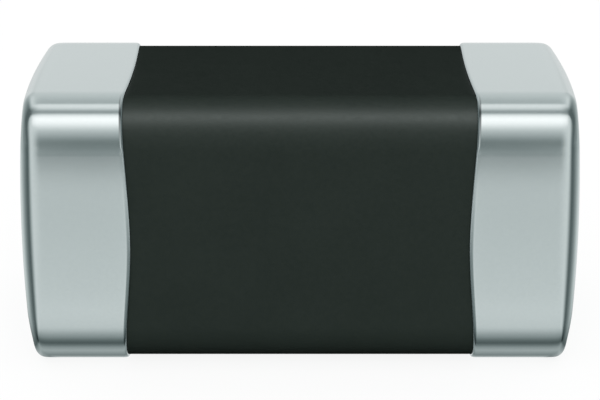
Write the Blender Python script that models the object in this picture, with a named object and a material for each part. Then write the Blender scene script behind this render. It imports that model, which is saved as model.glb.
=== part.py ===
"""Chip NTC thermistor, case size 1608 metric, lying on its solder lands.

The chip runs along X, with its origin at its centre and +Z up. A sintered ceramic block holds printed
inner electrodes that come out at its left and right end in turn. Each end wears a cap of three skins:
fired silver, a nickel barrier and matte tin. Every skin is lofted from the same stations round the chip
as the surface beneath it, so all of them follow the block's rounded edges, the domed end and the curved
rim of the band.
"""

import math

import bmesh
import bpy
from mathutils import Vector

MM = 0.001
MICRON = 0.000001

# Size over the caps, to the ends' highest points
LENGTH = 1.600 * MM
WIDTH = 0.800 * MM
HEIGHT = 0.800 * MM

# Tumbled edges of the ceramic block
LONG_EDGE_RADIUS = 131 * MICRON
END_EDGE_RADIUS = 23 * MICRON

# Band of the cap, from the chip's end to the rim, measured at the long edges
BAND_LENGTH = 305 * MICRON

# How much further the rim reaches in the middle of the front and back, and of the top and underside
RIM_BOW_SIDES = 17 * MICRON
RIM_BOW_TOP = 10 * MICRON
RIM_ROUNDING = 11 * MICRON

# Thickness of each skin on the bands
SILVER_THICKNESS = 2.5 * MICRON
NICKEL_THICKNESS = 1.5 * MICRON
TIN_THICKNESS = 2.5 * MICRON

# Silver paste on the end face: the least of it, at the corners, and how far the dome falls to its sides
SILVER_AT_CORNERS = 4.0 * MICRON
DOME_FALL = 19.0 * MICRON

# Clearance that keeps two solids apart where the real ones are fused together
CLEARANCE = 1.0 * MICRON

# Printed inner electrodes
ELECTRODES_PER_END = 3
ELECTRODE_THICKNESS = 2.0 * MICRON
ELECTRODE_PITCH = 90 * MICRON
ELECTRODE_WIDTH = 500 * MICRON
ELECTRODE_SETBACK = 300 * MICRON

# Facets
CORNER_STEPS = 6
FACE_STEPS = 4
END_EDGE_STEPS = 4
DOME_STEPS = 3
RIM_STEPS = 2

# Offset of the outer surface of each skin from the ceramic
SILVER_OFFSET = CLEARANCE + SILVER_THICKNESS
NICKEL_OFFSET = SILVER_OFFSET + CLEARANCE + NICKEL_THICKNESS
TIN_OFFSET = NICKEL_OFFSET + CLEARANCE + TIN_THICKNESS
RIM_GROWTH = TIN_OFFSET - SILVER_OFFSET

CERAMIC_WIDTH = WIDTH - 2 * TIN_OFFSET
CERAMIC_HEIGHT = HEIGHT - 2 * TIN_OFFSET


class Station:
    """One place round the chip's section.

    foot is the centre of the end edge's rounding there, out is the way the surface faces, and bow is how
    far the rim of the band reaches past its place at the long edges.
    """

    def __init__(self, foot, out, bow):
        self.foot = foot
        self.out = out
        self.bow = bow


def section_stations():
    """Walk once round the section: from the middle of each long edge over the face that follows it."""
    half_y = CERAMIC_WIDTH / 2 - LONG_EDGE_RADIUS
    half_z = CERAMIC_HEIGHT / 2 - LONG_EDGE_RADIUS
    foot_radius = LONG_EDGE_RADIUS - END_EDGE_RADIUS
    stations = []
    for quarter in range(4):
        turn = quarter * math.pi / 2
        side_face = quarter % 2 == 0
        along = half_z if side_face else half_y
        across = half_y if side_face else half_z
        bow_height = RIM_BOW_SIDES if side_face else RIM_BOW_TOP
        facing = Vector((math.cos(turn), math.sin(turn)))
        sideways = Vector((-math.sin(turn), math.cos(turn)))

        places = []
        for step in range(CORNER_STEPS // 2):
            angle = math.pi / 4 - step * math.pi / 2 / CORNER_STEPS
            places.append((-along, -angle))
        for step in range(FACE_STEPS + 1):
            places.append((-along + 2 * along * step / FACE_STEPS, 0.0))
        for step in range(1, CORNER_STEPS // 2):
            places.append((along, step * math.pi / 2 / CORNER_STEPS))

        reach = along + LONG_EDGE_RADIUS * math.pi / 4
        for shift, angle in places:
            out = facing * math.cos(angle) + sideways * math.sin(angle)
            foot = facing * across + sideways * shift + out * foot_radius
            run = shift + LONG_EDGE_RADIUS * angle
            bow = bow_height * math.cos(math.pi / 2 * run / reach)
            stations.append(Station(foot, out, bow))
    return stations


STATIONS = section_stations()


def dome_level(spot):
    """How far the dome has fallen at a spot of the end face, as a share of its fall at mid-side."""
    return (2 * spot.x / WIDTH) ** 2 + (2 * spot.y / HEIGHT) ** 2


CORNER_LEVEL = max(dome_level(station.foot) for station in STATIONS)


def end_silver(spot):
    """Extra silver on the end face at a spot, over what the bands have."""
    return SILVER_AT_CORNERS + DOME_FALL * (CORNER_LEVEL - dome_level(spot))


END_SILVER_AT_MIDDLE = end_silver(Vector((0, 0)))
CERAMIC_LENGTH = LENGTH - 2 * (TIN_OFFSET + END_SILVER_AT_MIDDLE)
EDGE_CENTRE_X = CERAMIC_LENGTH / 2 - END_EDGE_RADIUS
RIM_X = LENGTH / 2 - BAND_LENGTH


def end_edge_ring(offset, angle, with_dome):
    """Ring on the rounded edge of an end, at an angle from the end face outwards."""
    ring = []
    for station in STATIONS:
        radius = END_EDGE_RADIUS + offset
        forward = radius + (end_silver(station.foot) if with_dome else 0.0)
        spot = station.foot + station.out * radius * math.sin(angle)
        ring.append(Vector((EDGE_CENTRE_X + forward * math.cos(angle), spot.x, spot.y)))
    return ring


def dome_ring(offset, share):
    """Ring on the domed end face, at a share of the way from its middle to the end edge."""
    ring = []
    for station in STATIONS:
        spot = station.foot * share
        forward = EDGE_CENTRE_X + END_EDGE_RADIUS + offset + end_silver(spot)
        ring.append(Vector((forward, spot.x, spot.y)))
    return ring


def rim_ring(growth, angle):
    """Ring on the rounded rim of the band, at an angle up from the ceramic.

    growth is how far the surface lies outside the silver's own rim.
    """
    ring = []
    for station in STATIONS:
        crown_x = RIM_X - station.bow + RIM_GROWTH + RIM_ROUNDING
        x = crown_x - (RIM_ROUNDING + growth) * math.cos(angle)
        height = CLEARANCE + (SILVER_THICKNESS + growth) * math.sin(angle)
        spot = station.foot + station.out * (END_EDGE_RADIUS + height)
        ring.append(Vector((x, spot.x, spot.y)))
    return ring


def skin_rings(offset):
    """Rings of one surface of a cap, from the middle of its end to the rim, without the middle point."""
    rings = [dome_ring(offset, step / DOME_STEPS) for step in range(1, DOME_STEPS)]
    for step in range(END_EDGE_STEPS + 1):
        rings.append(end_edge_ring(offset, math.pi / 2 * step / END_EDGE_STEPS, True))
    for step in range(RIM_STEPS + 1):
        rings.append(rim_ring(offset - SILVER_OFFSET, math.pi / 2 * (1 - step / RIM_STEPS)))
    return rings


def under_silver_rings():
    """Rings of the silver's inner surface, which follows the ceramic with its flat end."""
    rings = []
    for step in range(END_EDGE_STEPS + 1):
        rings.append(end_edge_ring(CLEARANCE, math.pi / 2 * step / END_EDGE_STEPS, False))
    return rings


def add_strip(mesh, first, second):
    """Join two rings of vertices by triangles, always along the same diagonal."""
    count = len(first)
    for index in range(count):
        after = (index + 1) % count
        mesh.faces.new((first[index], second[index], second[after]))
        mesh.faces.new((first[index], second[after], first[after]))


def add_surface(mesh, middle, rings):
    """Close a surface over its middle point and loft it along its rings; gives the last ring back."""
    pole = mesh.verts.new(middle)
    loops = [[mesh.verts.new(point) for point in ring] for ring in rings]
    count = len(loops[0])
    for index in range(count):
        mesh.faces.new((pole, loops[0][index], loops[0][(index + 1) % count]))
    for first, second in zip(loops, loops[1:]):
        add_strip(mesh, first, second)
    return loops[-1]


def finish_object(name, mesh, material):
    """Turn a bmesh into a smooth-shaded object with its faces pointing out."""
    bmesh.ops.recalc_face_normals(mesh, faces=mesh.faces)
    data = bpy.data.meshes.new(name)
    mesh.to_mesh(data)
    mesh.free()
    data.materials.append(material)
    data.shade_smooth()
    data.set_sharp_from_angle(angle=math.radians(40))
    made = bpy.data.objects.new(name, data)
    bpy.context.scene.collection.objects.link(made)
    return made


def make_material(name, color, roughness, metallic):
    """Give a Principled material of one colour."""
    material = bpy.data.materials.new(name)
    material.use_nodes = True
    shader = material.node_tree.nodes["Principled BSDF"]
    shader.inputs["Base Color"].default_value = (*color, 1.0)
    shader.inputs["Roughness"].default_value = roughness
    shader.inputs["Metallic"].default_value = metallic
    return material


def middle_point(offset, with_dome):
    """Middle of the right end, on the surface at an offset from the ceramic."""
    return Vector((CERAMIC_LENGTH / 2 + offset + (END_SILVER_AT_MIDDLE if with_dome else 0.0), 0, 0))


def turned_left(mesh):
    """Turn a cap made for the right end half round Z, onto the left end."""
    for vertex in mesh.verts:
        vertex.co.x = -vertex.co.x
        vertex.co.y = -vertex.co.y


def make_skin(name, inner, inner_middle, outer_offset, material, side):
    """Build one skin of a cap between its inner rings and its outer surface, closed at the rim's foot."""
    mesh = bmesh.new()
    outer_foot = add_surface(mesh, middle_point(outer_offset, True), skin_rings(outer_offset))
    inner_foot = add_surface(mesh, inner_middle, inner)
    add_strip(mesh, outer_foot, inner_foot)
    if side == "left":
        turned_left(mesh)
    return finish_object(name + "_" + side, mesh, material)


def make_cap(side, silver, nickel, tin):
    """Build the three skins of one end's cap."""
    make_skin("silver_base", under_silver_rings(), middle_point(CLEARANCE, False), SILVER_OFFSET, silver, side)
    over_silver = SILVER_OFFSET + CLEARANCE
    make_skin(
        "nickel_barrier", skin_rings(over_silver), middle_point(over_silver, True), NICKEL_OFFSET, nickel, side
    )
    over_nickel = NICKEL_OFFSET + CLEARANCE
    make_skin("tin_plating", skin_rings(over_nickel), middle_point(over_nickel, True), TIN_OFFSET, tin, side)


def add_plate(mesh, level, side_sign, margin, overrun):
    """Add one flat plate that starts at an end of the ceramic and stops short of the other end.

    margin widens the plate all round, and overrun carries it past the end that it starts at.
    """
    tip = CERAMIC_LENGTH / 2 - ELECTRODE_SETBACK + margin
    length = CERAMIC_LENGTH / 2 + overrun + tip
    matrix_centre = Vector((side_sign * (length / 2 - tip), 0, level))
    made = bmesh.ops.create_cube(mesh, size=1.0)
    size = Vector((length, ELECTRODE_WIDTH + 2 * margin, ELECTRODE_THICKNESS + 2 * margin))
    bmesh.ops.scale(mesh, vec=size, verts=made["verts"])
    bmesh.ops.translate(mesh, vec=matrix_centre, verts=made["verts"])


def electrode_places():
    """List each electrode's name, height and side, from the lowest up, left and right in turn."""
    places = []
    count = 2 * ELECTRODES_PER_END
    for index in range(count):
        side, sign = ("left", -1) if index % 2 == 0 else ("right", 1)
        level = ELECTRODE_PITCH * (index - (count - 1) / 2)
        places.append(("inner_electrode_" + side + "_" + str(index // 2 + 1), level, sign))
    return places


def make_electrodes(material):
    """Build the printed plates."""
    for name, level, sign in electrode_places():
        mesh = bmesh.new()
        add_plate(mesh, level, sign, 0.0, 0.0)
        finish_object(name, mesh, material)


def make_ceramic(material):
    """Build the block with rounded edges and flat ends, and cut the electrodes' layers into it."""
    mesh = bmesh.new()
    rims = []
    for sign in (1, -1):
        rings = [
            end_edge_ring(0.0, math.pi / 2 * step / END_EDGE_STEPS, False) for step in range(END_EDGE_STEPS + 1)
        ]
        mirrored = [[Vector((sign * point.x, point.y, point.z)) for point in ring] for ring in rings]
        middle = middle_point(0.0, False)
        rims.append(add_surface(mesh, Vector((sign * middle.x, 0, 0)), mirrored))
    add_strip(mesh, rims[0], rims[1])
    body = finish_object("ceramic_body", mesh, material)

    slots = bmesh.new()
    for _name, level, sign in electrode_places():
        add_plate(slots, level, sign, CLEARANCE, END_SILVER_AT_MIDDLE)
    cutter = finish_object("electrode_layers_cutter", slots, material)
    cutter.hide_render = True
    cutter.display_type = "WIRE"
    cut = body.modifiers.new("electrode_layers", "BOOLEAN")
    cut.operation = "DIFFERENCE"
    cut.solver = "EXACT"
    cut.object = cutter
    return body


def clear_scene():
    """Remove what the scene holds."""
    for old in list(bpy.data.objects):
        bpy.data.objects.remove(old)


def main():
    """Build the chip."""
    clear_scene()
    ceramic = make_material("sintered_oxide_ceramic", (0.022, 0.029, 0.026), 0.42, 0.0)
    silver = make_material("fired_silver", (0.80, 0.79, 0.76), 0.50, 1.0)
    nickel = make_material("plated_nickel", (0.66, 0.61, 0.53), 0.30, 1.0)
    tin = make_material("matte_tin", (0.62, 0.66, 0.65), 0.34, 1.0)
    electrode = make_material("silver_palladium_ink", (0.62, 0.60, 0.57), 0.55, 1.0)
    make_ceramic(ceramic)
    make_electrodes(electrode)
    for side in ("left", "right"):
        make_cap(side, silver, nickel, tin)


main()
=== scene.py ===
"""Looks of a chip NTC thermistor, 1608 metric case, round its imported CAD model.

The sintered block and the three skins of each end cap are lofted finely round the chip's section by one
Geometry Nodes tree, each from the profile of its own wall. The printed inner electrodes are a repeated
plate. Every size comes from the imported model's boxes or is named below in metres.
"""

import logging
import math
from dataclasses import dataclass, fields
from enum import Enum
from typing import Any, Iterable, Sequence, Union

import bmesh
import bpy
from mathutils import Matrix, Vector


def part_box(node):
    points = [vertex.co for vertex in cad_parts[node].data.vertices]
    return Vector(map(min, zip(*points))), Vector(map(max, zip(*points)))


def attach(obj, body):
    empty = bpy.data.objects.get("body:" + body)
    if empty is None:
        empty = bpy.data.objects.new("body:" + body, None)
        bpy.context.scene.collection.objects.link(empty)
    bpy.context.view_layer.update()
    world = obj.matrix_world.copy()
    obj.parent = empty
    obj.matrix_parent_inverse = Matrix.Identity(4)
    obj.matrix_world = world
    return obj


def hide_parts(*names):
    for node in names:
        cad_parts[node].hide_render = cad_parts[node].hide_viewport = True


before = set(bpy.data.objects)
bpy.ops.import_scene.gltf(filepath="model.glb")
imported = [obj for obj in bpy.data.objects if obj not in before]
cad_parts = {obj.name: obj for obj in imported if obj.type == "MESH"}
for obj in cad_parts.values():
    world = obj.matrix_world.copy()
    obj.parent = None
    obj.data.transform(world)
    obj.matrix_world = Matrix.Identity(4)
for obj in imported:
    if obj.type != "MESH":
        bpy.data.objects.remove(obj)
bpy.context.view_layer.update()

LOG = logging.getLogger("chip_thermistor")

MM = 0.001
MICRON = 0.000001
SHARP_EDGE = math.radians(40)
SAME_POINT = 0.01 * MICRON

Setting = Union[float, int, bool, str, Sequence[float], bpy.types.NodeSocket, bpy.types.Material]


# ---------------------------------------------------------------- helpers


def add_node(
    tree: bpy.types.NodeTree,
    kind: str,
    settings: dict[str, Any] | None = None,
    inputs: dict[int | str, Setting] | None = None,
) -> bpy.types.Node:
    """Add a node to a tree, with its settings, values and links.

    Args:
        tree: Node tree that the node goes into.
        kind: Blender's type name of the node.
        settings: Values of the node's own properties, by name.
        inputs: What each input gets, by its name or number: a value, or an output socket to link.

    Returns:
        The new node.
    """
    node = tree.nodes.new(kind)
    for name, value in (settings or {}).items():
        setattr(node, name, value)
    for key, value in (inputs or {}).items():
        if isinstance(value, bpy.types.NodeSocket):
            tree.links.new(value, node.inputs[key])
        else:
            node.inputs[key].default_value = value
    return node


def linear(hex_colour: str) -> tuple[float, float, float, float]:
    """Turn an sRGB hex colour into Blender's linear RGBA.

    Args:
        hex_colour: Colour as six hex digits, such as "c8d0cf".

    Returns:
        Red, green, blue and an alpha of 1, in linear light.
    """
    parts = [int(hex_colour[at : at + 2], 16) / 255 for at in (0, 2, 4)]
    red, green, blue = (p / 12.92 if p <= 0.04045 else ((p + 0.055) / 1.055) ** 2.4 for p in parts)
    return red, green, blue, 1.0


def per_metre(size_mm: float) -> float:
    """Give the texture scale at which a pattern repeats about every size_mm millimetres."""
    return 1.0 / (size_mm * MM)


def link_to_scene(piece: bpy.types.Object) -> None:
    """Put an object into the scene's collection."""
    bpy.context.scene.collection.objects.link(piece)


# ---------------------------------------------------------------- sizes shared by the whole chip


class Side(Enum):
    """End of the chip that a cap or an electrode belongs to."""

    LEFT = "left"
    RIGHT = "right"

    @property
    def turn(self) -> float:
        """Sign of X at this end: what is made for the right end turns half round Z onto the left."""
        return -1.0 if self is Side.LEFT else 1.0


class Skin(Enum):
    """Skins of a cap, from the ceramic outwards."""

    SILVER = "silver_base"
    NICKEL = "nickel_barrier"
    TIN = "tin_plating"

    @property
    def slot(self) -> str:
        """Slot of the record that the skin takes its finish from."""
        return self.value.split("_")[0]


@dataclass(frozen=True)
class ChipForm:
    """Sizes that the block and every skin share, in metres.

    The offsets are distances of the skins' outer surfaces from the ceramic. dome_rise is the silver that
    the middle of the end face has beyond what the bands have, and it falls towards the sides. On the sides
    the paste crept rim_creep past the plain bow, and from there the rim draws back over high_rim_run
    upwards, to high_rim_step short of the corner's place, and over low_rim_run downwards, to
    low_rim_step past it.
    The bands start to fall towards the end edge edge_ease before its rounding. rim_fullness is the exponent
    of the rim's rounding, where 2 is an ellipse.
    Towards the underside the paste ran thin: the end face falls back by low_fall between the two depths
    below the chip's middle.
    """

    length: float
    width: float
    height: float
    ceramic_width: float
    ceramic_height: float
    ceramic_length: float
    silver_offset: float
    nickel_offset: float
    tin_offset: float
    rim_furthest_x: float
    dome_rise: float
    dome_fall: float = 19.0 * MICRON
    low_fall: float = 5.0 * MICRON
    low_fall_start: float = 220 * MICRON
    low_fall_end: float = 320 * MICRON
    long_edge_radius: float = 131 * MICRON
    end_edge_radius: float = 23 * MICRON
    rim_bow_sides: float = 17 * MICRON
    rim_creep: float = 2.5 * MICRON
    rim_bow_top: float = 10 * MICRON
    rim_rounding: float = 11 * MICRON
    high_rim_step: float = 2.0 * MICRON
    high_rim_run: float = 455 * MICRON
    low_rim_step: float = 3.4 * MICRON
    low_rim_run: float = 385 * MICRON
    rim_fullness: float = 2.7
    edge_ease: float = 24 * MICRON
    edge_ease_angle: float = math.radians(4.5)
    clearance: float = 1.0 * MICRON

    @classmethod
    def from_frame(cls) -> "ChipForm":
        """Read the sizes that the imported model's boxes tell.

        Returns:
            The chip's sizes.
        """
        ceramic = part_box("ceramic_body")[1]
        silver, nickel, tin = (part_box(f"{skin.value}_right")[1] for skin in Skin)
        tin_offset = tin.y - ceramic.y
        return cls(
            length=2 * tin.x,
            width=2 * tin.y,
            height=2 * tin.z,
            ceramic_width=2 * ceramic.y,
            ceramic_height=2 * ceramic.z,
            ceramic_length=2 * ceramic.x,
            silver_offset=silver.y - ceramic.y,
            nickel_offset=nickel.y - ceramic.y,
            tin_offset=tin_offset,
            rim_furthest_x=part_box("tin_plating_right")[0].x,
            dome_rise=tin.x - ceramic.x - tin_offset,
        )

    @property
    def edge_centre_x(self) -> float:
        """Place along X of the centre of the end edge's rounding."""
        return self.ceramic_length / 2 - self.end_edge_radius

    @property
    def foot_radius(self) -> float:
        """Radius of the long edges at the centre line of the end edge's rounding."""
        return self.long_edge_radius - self.end_edge_radius

    @property
    def silver_thickness(self) -> float:
        """Thickness of the silver on the bands."""
        return self.silver_offset - self.clearance

    @property
    def crown_x(self) -> float:
        """Place along X where the rim's rounding starts on the band, at the long edges."""
        rim_growth = self.tin_offset - self.silver_offset
        return self.rim_furthest_x + self.rim_bow_sides + rim_growth + self.rim_rounding


@dataclass(frozen=True)
class WallPoint:
    """One point of a wall's profile, which the loft carries round the chip's section.

    Attributes:
        along: Distance along X from the chip's centre.
        outward: Distance from the end edge's centre line, square to X.
        share: Share of the way from the end's middle to that centre line.
        dome: How much of the end's dome this point takes.
        bow: How much of the rim's bow this point takes.
        wear: How far tumbling and handling have burnished it, from 0 to 1.
        rim: How far it is out on the thin rim, from 0 to 1.
        bend: How far it is in the line where the wall bends down to the rim, from 0 to 1.
    """

    along: float
    outward: float = 0.0
    share: float = 1.0
    dome: float = 0.0
    bow: float = 0.0
    wear: float = 0.0
    rim: float = 0.0
    bend: float = 0.0


# What the loft reads from a wall's profile and from the rail round the section, and what stays on the
# finished mesh for its material.
WALL_ATTRIBUTES = tuple(field.name for field in fields(WallPoint))
RAIL_ATTRIBUTES = ("foot", "out", "rim_bow")
SHADED_ATTRIBUTES = ("wear", "rim", "bare")


# ---------------------------------------------------------------- the loft round the section


class SectionLoft:
    """Geometry Nodes tree that carries a wall's profile round the chip's rounded section."""

    def __init__(self, form: ChipForm, points_round: int = 384, corner_points: int = 90) -> None:
        """Keep the sizes and build the tree.

        Args:
            form: Sizes of the chip.
            points_round: Points in one turn round the section.
            corner_points: Points that each long edge's rounding is first drawn with.
        """
        self.form = form
        self.points_round = points_round
        self.corner_points = corner_points
        self.tree = self._build_tree()

    def _sizes(self) -> dict[str, float]:
        """Give the tree's inputs that are sizes of the chip.

        Returns:
            Size of each input, by the name that the tree gives it.
        """
        form = self.form
        return {
            "Flat Width": form.ceramic_width - 2 * form.long_edge_radius,
            "Flat Height": form.ceramic_height - 2 * form.long_edge_radius,
            "Foot Radius": form.foot_radius,
            "Long Edge Radius": form.long_edge_radius,
            "Side Bow": form.rim_bow_sides + form.rim_creep,
            "Top Bow": form.rim_bow_top,
            "High Rim Step": form.high_rim_step,
            "High Rim Run": form.high_rim_run,
            "Low Rim Step": form.low_rim_step,
            "Low Rim Run": form.low_rim_run,
            "Dome Rise": form.dome_rise,
            "Dome Fall": form.dome_fall,
            "Low Fall": form.low_fall,
            "Low Fall Start": form.low_fall_start,
            "Low Fall End": form.low_fall_end,
            "Full Width": form.width,
            "Full Height": form.height,
        }

    def _build_tree(self) -> bpy.types.GeometryNodeTree:
        """Build the tree with its named inputs.

        Returns:
            The node tree.
        """
        tree = bpy.data.node_groups.new("loft_round_chip_section", "GeometryNodeTree")
        tree.interface.new_socket("Geometry", in_out="OUTPUT", socket_type="NodeSocketGeometry")
        tree.interface.new_socket("Wall Profile", in_out="INPUT", socket_type="NodeSocketGeometry")
        for name in (*self._sizes(), "Turn"):
            tree.interface.new_socket(name, in_out="INPUT", socket_type="NodeSocketFloat")
        tree.interface.new_socket("Points Round", in_out="INPUT", socket_type="NodeSocketInt")
        tree.interface.new_socket("Material", in_out="INPUT", socket_type="NodeSocketMaterial")

        given = add_node(tree, "NodeGroupInput").outputs
        rail = self._add_rail(tree, given)
        profile = add_node(tree, "GeometryNodeMeshToCurve", inputs={"Mesh": given["Wall Profile"]})
        swept = add_node(
            tree,
            "GeometryNodeCurveToMesh",
            inputs={"Curve": rail, "Profile Curve": profile.outputs[0], "Fill Caps": False},
        )
        placed = add_node(
            tree,
            "GeometryNodeSetPosition",
            inputs={"Geometry": swept.outputs[0], "Position": self._add_surface_place(tree, given)},
        )
        # Store the mask of the painted dark reflection along the bend over the upper long edges.
        reflection_painted = add_node(
            tree,
            "GeometryNodeStoreNamedAttribute",
            {"data_type": "FLOAT", "domain": "POINT"},
            {"Geometry": placed.outputs[0], "Name": "bare", "Value": self._add_bare_share(tree)},
        )
        closed = add_node(
            tree,
            "GeometryNodeMergeByDistance",
            inputs={"Geometry": reflection_painted.outputs[0], "Distance": SAME_POINT},
        )
        real = add_node(tree, "GeometryNodeRealizeInstances", inputs={"Geometry": closed.outputs[0]})
        dressed = add_node(
            tree,
            "GeometryNodeSetMaterial",
            inputs={"Geometry": real.outputs[0], "Material": given["Material"]},
        )
        add_node(tree, "NodeGroupOutput", inputs={0: dressed.outputs[0]})
        return tree

    def _add_rail(self, tree: bpy.types.NodeTree, given: Any) -> bpy.types.NodeSocket:
        """Add the closed curve round the section at the end edge's centre line.

        Its X and Y stand for the chip's Y and Z. Each point keeps its place as "foot", the way the
        surface faces as "out" and the share of the rim's bow as "rim_bow".

        Args:
            tree: Tree that the nodes go into.
            given: Outputs of the group's input node.

        Returns:
            Output socket with the curve.
        """
        size = [
            add_node(
                tree,
                "ShaderNodeMath",
                {"operation": "MULTIPLY_ADD"},
                {0: given["Foot Radius"], 1: 2.0, 2: given[flat]},
            ).outputs[0]
            for flat in ("Flat Width", "Flat Height")
        ]
        box = add_node(
            tree, "GeometryNodeCurvePrimitiveQuadrilateral", inputs={"Width": size[0], "Height": size[1]}
        )
        rounded = add_node(
            tree,
            "GeometryNodeFilletCurve",
            {"mode": "POLY"},
            {
                "Curve": box.outputs[0],
                "Count": self.corner_points,
                "Radius": given["Foot Radius"],
                "Limit Radius": False,
            },
        )
        even = add_node(
            tree,
            "GeometryNodeResampleCurve",
            {"mode": "COUNT"},
            {"Curve": rounded.outputs[0], "Count": given["Points Round"]},
        )
        foot = add_node(tree, "GeometryNodeInputPosition").outputs[0]
        flats = add_node(
            tree, "ShaderNodeCombineXYZ", inputs={0: given["Flat Width"], 1: given["Flat Height"]}
        ).outputs[0]
        half, back = (
            add_node(
                tree, "ShaderNodeVectorMath", {"operation": "SCALE"}, {0: flats, "Scale": share}
            ).outputs[0]
            for share in (0.5, -0.5)
        )
        core = foot
        for limit, edge in (("MINIMUM", half), ("MAXIMUM", back)):
            core = add_node(
                tree, "ShaderNodeVectorMath", {"operation": limit}, {0: core, 1: edge}
            ).outputs[0]
        lean = add_node(
            tree, "ShaderNodeVectorMath", {"operation": "SUBTRACT"}, {0: foot, 1: core}
        ).outputs[0]
        out = add_node(tree, "ShaderNodeVectorMath", {"operation": "NORMALIZE"}, {0: lean}).outputs[0]
        height = add_node(tree, "ShaderNodeSeparateXYZ", inputs={0: foot}).outputs[1]
        low = add_node(tree, "ShaderNodeMath", {"operation": "LESS_THAN"}, {0: height, 1: 0.0}).outputs[0]
        bow = self._add_rim_bow(tree, given, core, out, half, low)

        curve = even.outputs[0]
        for name, kind, value in (
            ("foot", "FLOAT_VECTOR", foot),
            ("out", "FLOAT_VECTOR", out),
            ("rim_bow", "FLOAT", bow),
        ):
            kept = add_node(
                tree,
                "GeometryNodeStoreNamedAttribute",
                {"data_type": kind, "domain": "POINT"},
                {"Geometry": curve, "Name": name, "Value": value},
            )
            curve = kept.outputs[0]
        return curve

    def _add_rim_bow(
        self,
        tree: bpy.types.NodeTree,
        given: Any,
        core: bpy.types.NodeSocket,
        out: bpy.types.NodeSocket,
        half: bpy.types.NodeSocket,
        low: bpy.types.NodeSocket,
    ) -> bpy.types.NodeSocket:
        """Add how far the rim reaches past its place at the long edges, as one wave to a face.

        On each face its own wave is the greater, so the greater of the two is the bow. The underside's
        wave starts from where the lower half of the sides ends.

        Args:
            tree: Tree that the nodes go into.
            given: Outputs of the group's input node.
            core: Nearest point of the section's flat core.
            out: The way the surface faces.
            half: Half sizes of the flat core.
            low: 1 on the lower half of the section, and 0 on the upper half.

        Returns:
            Output socket with the bow in metres.
        """
        flat, facing = (
            add_node(
                tree,
                "ShaderNodeSeparateXYZ",
                inputs={
                    0: add_node(
                        tree, "ShaderNodeVectorMath", {"operation": "ABSOLUTE"}, {0: vector}
                    ).outputs[0]
                },
            ).outputs
            for vector in (core, out)
        )
        runs = []
        for axis in (0, 1):
            angle = add_node(tree, "ShaderNodeMath", {"operation": "ARCSINE"}, {0: facing[axis]})
            run = add_node(
                tree,
                "ShaderNodeMath",
                {"operation": "MULTIPLY_ADD"},
                {0: given["Long Edge Radius"], 1: angle.outputs[0], 2: flat[axis]},
            )
            runs.append(run.outputs[0])
        across, up = runs

        drawn_back = add_node(
            tree, "ShaderNodeMath", {"operation": "MULTIPLY"}, {0: given["Low Rim Step"], 1: -1.0}
        ).outputs[0]
        last_run, last_bow = (
            add_node(
                tree, "ShaderNodeMix", {"data_type": "FLOAT"}, {"Factor": low, 2: upper, 3: lower}
            ).outputs[0]
            for upper, lower in (
                (given["High Rim Run"], given["Low Rim Run"]),
                (given["High Rim Step"], drawn_back),
            )
        )
        side = add_node(
            tree,
            "ShaderNodeMapRange",
            {"interpolation_type": "SMOOTHSTEP"},
            {
                "Value": up,
                "From Min": 0.0,
                "From Max": last_run,
                "To Min": given["Side Bow"],
                "To Max": last_bow,
            },
        ).outputs[0]

        half_across = add_node(tree, "ShaderNodeSeparateXYZ", inputs={0: half}).outputs[0]
        reach = add_node(
            tree,
            "ShaderNodeMath",
            {"operation": "MULTIPLY_ADD"},
            {0: given["Long Edge Radius"], 1: math.pi / 4, 2: half_across},
        )
        part = add_node(tree, "ShaderNodeMath", {"operation": "DIVIDE"}, {0: across, 1: reach.outputs[0]})
        turned = add_node(
            tree, "ShaderNodeMath", {"operation": "MULTIPLY"}, {0: part.outputs[0], 1: math.pi / 2}
        )
        wave = add_node(tree, "ShaderNodeMath", {"operation": "COSINE"}, {0: turned.outputs[0]})
        step = add_node(tree, "ShaderNodeMath", {"operation": "MULTIPLY"}, {0: drawn_back, 1: low}).outputs[0]
        flat_bow = add_node(
            tree,
            "ShaderNodeMath",
            {"operation": "MULTIPLY_ADD"},
            {0: wave.outputs[0], 1: given["Top Bow"], 2: step},
        ).outputs[0]
        return add_node(tree, "ShaderNodeMath", {"operation": "MAXIMUM"}, {0: side, 1: flat_bow}).outputs[0]

    def _add_surface_place(self, tree: bpy.types.NodeTree, given: Any) -> bpy.types.NodeSocket:
        """Add the place of a point of the swept wall, from what the rail and the profile carry.

        Args:
            tree: Tree that the nodes go into.
            given: Outputs of the group's input node.

        Returns:
            Output socket with the position in the chip's frame.
        """
        read = {
            name: add_node(
                tree, "GeometryNodeInputNamedAttribute", {"data_type": kind}, {"Name": name}
            ).outputs[0]
            for name, kind in (
                ("foot", "FLOAT_VECTOR"),
                ("out", "FLOAT_VECTOR"),
                ("rim_bow", "FLOAT"),
                ("along", "FLOAT"),
                ("outward", "FLOAT"),
                ("share", "FLOAT"),
                ("dome", "FLOAT"),
                ("bow", "FLOAT"),
            )
        }
        inner = add_node(
            tree, "ShaderNodeVectorMath", {"operation": "SCALE"}, {0: read["foot"], "Scale": read["share"]}
        ).outputs[0]
        grown = add_node(
            tree, "ShaderNodeVectorMath", {"operation": "SCALE"}, {0: read["out"], "Scale": read["outward"]}
        ).outputs[0]
        spot = add_node(tree, "ShaderNodeVectorMath", {"operation": "ADD"}, {0: inner, 1: grown}).outputs[0]
        across, up, _ = add_node(tree, "ShaderNodeSeparateXYZ", inputs={0: spot}).outputs

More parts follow.
